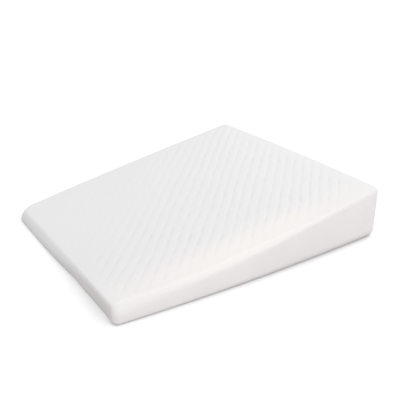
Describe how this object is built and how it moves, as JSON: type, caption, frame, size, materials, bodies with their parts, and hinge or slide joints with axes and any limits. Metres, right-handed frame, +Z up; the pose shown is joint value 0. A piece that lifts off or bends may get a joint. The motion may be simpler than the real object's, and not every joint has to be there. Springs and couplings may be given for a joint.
{
  "type": "wedge pillow",
  "caption": "Low wedge pillow for a small bed: a firm wedge in a close white knit cover with diagonal ribs, flat under, sloping from a thin end to a thick end.",
  "frame": {"origin": "centre of the bounding box, on the flat base", "axes": "+X from the thin end to the thick end, +Y across the pillow, +Z up from the flat base"},
  "size_m": [0.3683, 0.33, 0.0679],
  "materials": {
    "knit_cover": "matte close knit with puffed diagonal ribs"
  },
  "bodies": {
    "root": {"wedge_pillow": "knit_cover"}
  },
  "joints": []
}
